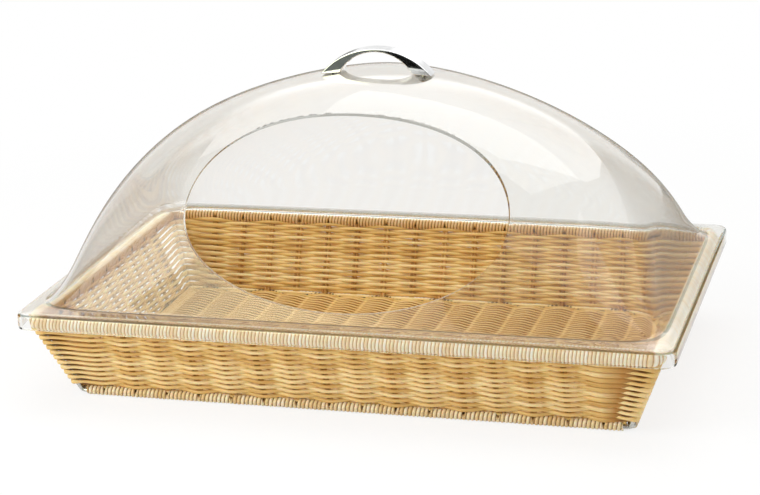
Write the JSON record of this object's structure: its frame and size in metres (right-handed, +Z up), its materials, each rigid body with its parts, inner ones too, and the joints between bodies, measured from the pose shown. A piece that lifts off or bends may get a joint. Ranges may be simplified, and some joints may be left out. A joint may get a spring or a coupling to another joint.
{
  "type": "buffet basket",
  "caption": "Woven polypropylene cane buffet basket on a wire frame, with a clear domed cover that lifts off by a bow handle and has an oval serving opening in front.",
  "frame": {"origin": "centre of the footprint, on the surface the basket stands on", "axes": "+X along the length, to the right of someone facing the oval opening; -Y towards that person; +Z up"},
  "size_m": [0.541, 0.333, 0.2723],
  "materials": {
    "cane": "woven round polypropylene cane, satin, rattan coloured",
    "pale_cane": "wound polypropylene cane, satin, pale rattan coloured",
    "steel": "plated steel wire and fasteners",
    "chrome": "polished chrome plate",
    "clear_sheet": "clear blown acrylic sheet, polished"
  },
  "bodies": {
    "basket": {"rim_frame_wire": "steel", "base_frame_wire": "steel", "corner_post_front_left": "steel", "corner_post_front_right": "steel", "corner_post_back_left": "steel", "corner_post_back_right": "steel", "cross_stake_01": "cane", "cross_stake_02": "cane", "cross_stake_03": "cane", "cross_stake_04": "cane", "cross_stake_05": "cane", "cross_stake_06": "cane", "cross_stake_07": "cane", "cross_stake_08": "cane", "cross_stake_09": "cane", "cross_stake_10": "cane", "cross_stake_11": "cane", "cross_stake_12": "cane", "cross_stake_13": "cane", "cross_stake_14": "cane", "cross_stake_15": "cane", "cross_stake_16": "cane", "left_stake_1": "cane", "left_stake_2": "cane", "left_stake_3": "cane", "left_stake_4": "cane", "left_stake_5": "cane", "left_stake_6": "cane", "left_stake_7": "cane", "left_stake_8": "cane", "right_stake_1": "cane", "right_stake_2": "cane", "right_stake_3": "cane", "right_stake_4": "cane", "right_stake_5": "cane", "right_stake_6": "cane", "right_stake_7": "cane", "right_stake_8": "cane", "wall_weave_front": "cane", "wall_weave_back": "cane", "wall_weave_left": "cane", "wall_weave_right": "cane", "floor_weave": "cane", "rim_binding_front": "pale_cane", "rim_binding_back": "pale_cane", "rim_binding_left": "pale_cane", "rim_binding_right": "pale_cane", "base_binding_front": "pale_cane", "base_binding_back": "pale_cane", "base_binding_left": "pale_cane", "base_binding_right": "pale_cane"},
    "cover": {"dome_cover": "clear_sheet", "handle_bow": "chrome", "handle_screw_left": "steel", "handle_screw_right": "steel", "screw_washer_left": "steel", "screw_washer_right": "steel"}
  },
  "joints": [
    {"name": "cover_lift", "type": "slide", "parent": "basket", "child": "cover", "axis": [0, 0, 1], "range_m": [0, 0.12]}
  ]
}
